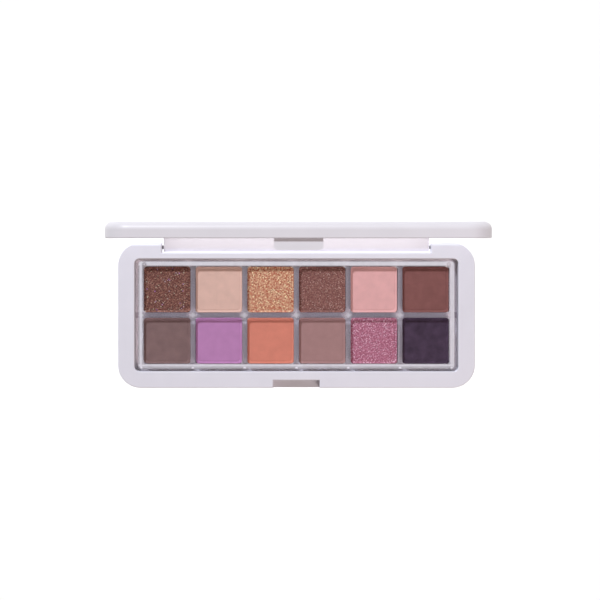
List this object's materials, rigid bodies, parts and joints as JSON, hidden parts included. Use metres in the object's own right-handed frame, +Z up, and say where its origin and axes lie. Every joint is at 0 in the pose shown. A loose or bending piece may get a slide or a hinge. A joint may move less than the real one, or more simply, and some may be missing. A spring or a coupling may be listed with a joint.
{
  "type": "eyeshadow palette",
  "caption": "Slim rectangular eyeshadow palette: hinged lid with mirror, shown open, over a shallow base whose clear tray holds rows of square pressed powder pans.",
  "frame": {"origin": "centre of the base's underside, on the surface it rests on", "axes": "+X to the right along the hinge, +Y back towards the hinge, +Z up"},
  "size_m": [0.146, 0.0679, 0.061],
  "materials": {
    "white_plastic": "satin moulded, cool white",
    "clear_plastic": "clear, polished mould",
    "pan_metal": "pressed, bright",
    "pin_steel": "drawn wire",
    "mirror_glass": "silvered, polished",
    "tape_foam": "thin foam tape",
    "glue_clear": "hot melt glue",
    "label_paper": "blank coated paper",
    "powder_dark_brown_glitter": "pressed powder, dense fine glitter",
    "powder_beige_matte": "pressed powder, matte",
    "powder_gold_glitter": "pressed powder, coarse glitter",
    "powder_brown_shimmer": "pressed powder, fine shimmer",
    "powder_pink_matte": "pressed powder, matte",
    "powder_red_brown_matte": "pressed powder, matte",
    "powder_taupe_matte": "pressed powder, matte",
    "powder_violet_matte": "pressed powder, matte",
    "powder_coral_matte": "pressed powder, matte",
    "powder_mauve_taupe_matte": "pressed powder, matte",
    "powder_pink_shimmer": "pressed powder, shimmer",
    "powder_plum_matte": "pressed powder, matte"
  },
  "bodies": {
    "base": {"base_frame": "white_plastic", "base_bottom": "white_plastic", "bottom_label": "label_paper", "clear_tray": "clear_plastic", "pan_01": "pan_metal", "powder_01": "powder_dark_brown_glitter", "pan_02": "pan_metal", "powder_02": "powder_beige_matte", "pan_03": "pan_metal", "powder_03": "powder_gold_glitter", "pan_04": "pan_metal", "powder_04": "powder_brown_shimmer", "pan_05": "pan_metal", "powder_05": "powder_pink_matte", "pan_06": "pan_metal", "powder_06": "powder_red_brown_matte", "pan_07": "pan_metal", "powder_07": "powder_taupe_matte", "pan_08": "pan_metal", "powder_08": "powder_violet_matte", "pan_09": "pan_metal", "powder_09": "powder_coral_matte", "pan_10": "pan_metal", "powder_10": "powder_mauve_taupe_matte", "pan_11": "pan_metal", "powder_11": "powder_pink_shimmer", "pan_12": "pan_metal", "powder_12": "powder_plum_matte", "pan_glue": "glue_clear", "hinge_pin_left": "pin_steel", "hinge_pin_right": "pin_steel"},
    "lid": {"lid_shell": "white_plastic", "lid_liner": "white_plastic", "mirror": "mirror_glass", "mirror_tape": "tape_foam"}
  },
  "joints": [
    {"name": "lid_hinge", "type": "hinge", "parent": "base", "child": "lid", "pos_m": [0, 0.0279, 0.0031], "axis": [-1, 0, 0], "range_deg": [-87.2, 9.8]}
  ]
}
